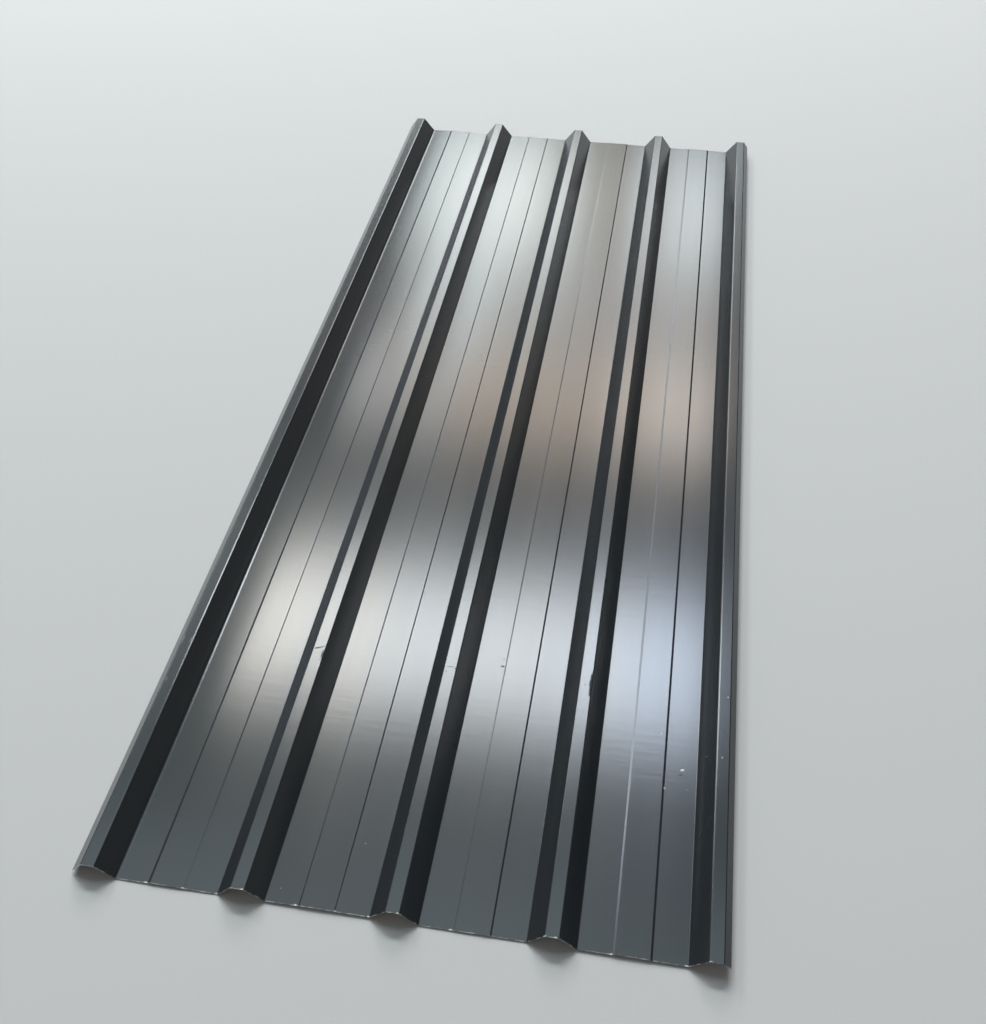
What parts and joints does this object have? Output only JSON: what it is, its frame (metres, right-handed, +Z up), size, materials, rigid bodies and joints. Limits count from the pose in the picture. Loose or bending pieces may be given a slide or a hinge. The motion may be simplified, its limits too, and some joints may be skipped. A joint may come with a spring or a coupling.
{
  "type": "profiled metal roofing sheet",
  "caption": "Long roll-formed roofing and cladding sheet of dark grey painted steel, with trapezoidal ribs, flat pans between them and a side lap at each edge.",
  "frame": {"origin": "on the surface that the pans lie on, under the middle of the sheet's overall width and length", "axes": "+Y along the ribs, +X across the sheet towards the overlap edge, +Z up out of the weather face"},
  "size_m": [1.057, 2.5, 0.0365],
  "materials": {
    "painted_steel": "satin"
  },
  "bodies": {
    "root": {"profiled_sheet": "painted_steel"}
  },
  "joints": []
}
